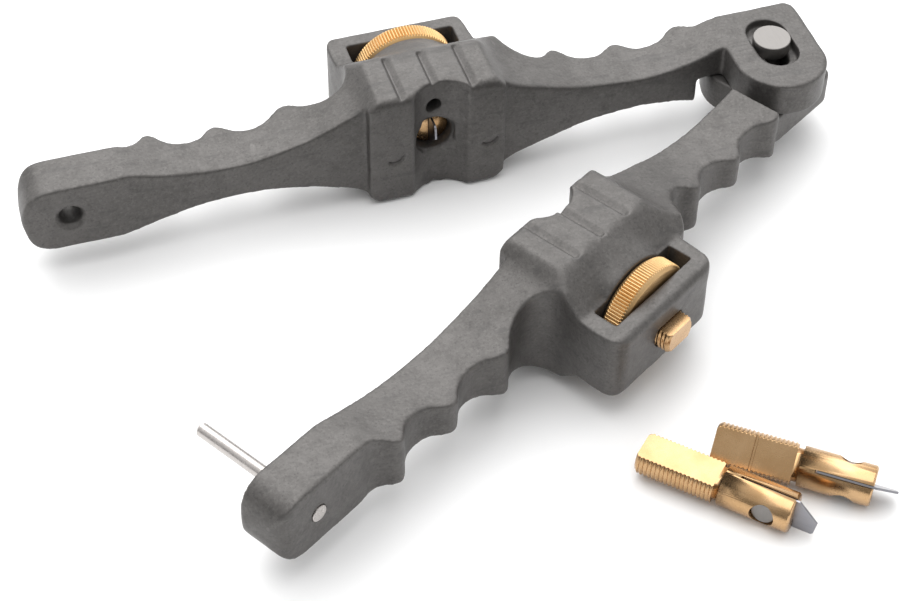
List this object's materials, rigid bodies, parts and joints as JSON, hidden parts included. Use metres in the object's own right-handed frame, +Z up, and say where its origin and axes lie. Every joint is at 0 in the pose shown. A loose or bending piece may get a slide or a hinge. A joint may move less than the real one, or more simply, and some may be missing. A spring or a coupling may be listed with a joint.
{
  "type": "fibre cable stripper",
  "caption": "Hinged two-arm cable slitter with thumbwheel-set brass blade cartridges facing a round channel, shown open with loose spare cartridges.",
  "frame": {"origin": "on the table under the middle of the whole set's bounding box, as it lies open", "axes": "+Z up; +X along arm A from its free end to the hinge; +Y from the open jaws towards arm A's thumbwheel"},
  "size_m": [0.2106, 0.1732, 0.034],
  "materials": {
    "cast_alloy": "tumbled pressure casting, satin grey, fine mottling",
    "pin_steel": "turned, fine face marks",
    "spring_steel": "oiled spring steel",
    "dowel_steel": "ground",
    "blade_steel": "ground strip with honed edge",
    "wheel_brass": "straight knurled rim, turned faces",
    "cartridge_brass": "turned and milled, light matt"
  },
  "bodies": {
    "arm_b": {"arm_b_casting": "cast_alloy", "guide_dowel": "dowel_steel"},
    "hinge_pin": {"hinge_pin": "pin_steel", "hinge_washer": "pin_steel", "hinge_retaining_ring": "spring_steel"},
    "arm_a": {"arm_a_casting": "cast_alloy"},
    "thumbwheel_a": {"thumbwheel_a": "wheel_brass"},
    "thumbwheel_b": {"thumbwheel_b": "wheel_brass"},
    "cartridge_a": {"cartridge_a": "cartridge_brass", "blade_a": "blade_steel", "blade_pin_a": "pin_steel"},
    "cartridge_b": {"cartridge_b": "cartridge_brass", "blade_b": "blade_steel", "blade_pin_b": "pin_steel"},
    "cartridge_spare_1": {"cartridge_spare_1": "cartridge_brass", "blade_spare_1": "blade_steel", "blade_pin_spare_1": "pin_steel"},
    "cartridge_spare_2": {"cartridge_spare_2": "cartridge_brass", "blade_spare_2": "blade_steel", "blade_pin_spare_2": "pin_steel"}
  },
  "joints": [
    {"name": "arm_hinge", "type": "hinge", "parent": "arm_b", "child": "hinge_pin", "pos_m": [0.0899, 0.04513, 0.017], "axis": [0, 0, -1], "range_deg": [-28, 148.3]},
    {"name": "pin_slide", "type": "slide", "parent": "hinge_pin", "child": "arm_a", "axis": [0, -1, 0], "range_m": [-0.0033, 0.0003]},
    {"name": "thumbwheel_a_turn", "type": "hinge", "parent": "arm_a", "child": "thumbwheel_a", "pos_m": [-0.0009, 0.07219, 0.017], "axis": [0, 1, 0], "range_deg": [-1080, 360]},
    {"name": "cartridge_a_slide", "type": "slide", "parent": "arm_a", "child": "cartridge_a", "axis": [0, -1, 0], "range_m": [-0.0031, 0.0011]},
    {"name": "thumbwheel_b_turn", "type": "hinge", "parent": "arm_b", "child": "thumbwheel_b", "pos_m": [0.02701, -0.02588, 0.017], "axis": [0.5249, -0.8512, 0], "range_deg": [-1080, 0]},
    {"name": "cartridge_b_slide", "type": "slide", "parent": "arm_b", "child": "cartridge_b", "axis": [-0.5249, 0.8512, 0], "range_m": [-0.0031, 0.0001]},
    {"name": "spare_1_lift", "type": "slide", "parent": "arm_b", "child": "cartridge_spare_1", "axis": [0, 0, 1], "range_m": [0, 0.06]},
    {"name": "spare_2_lift", "type": "slide", "parent": "arm_b", "child": "cartridge_spare_2", "axis": [0, 0, 1], "range_m": [0, 0.06]}
  ],
  "couplings": [
    {"joint": "cartridge_a_slide", "follows": "thumbwheel_a_turn", "m_per_rad": 0.00015915},
    {"joint": "cartridge_b_slide", "follows": "thumbwheel_b_turn", "m_per_rad": 0.00015915}
  ]
}
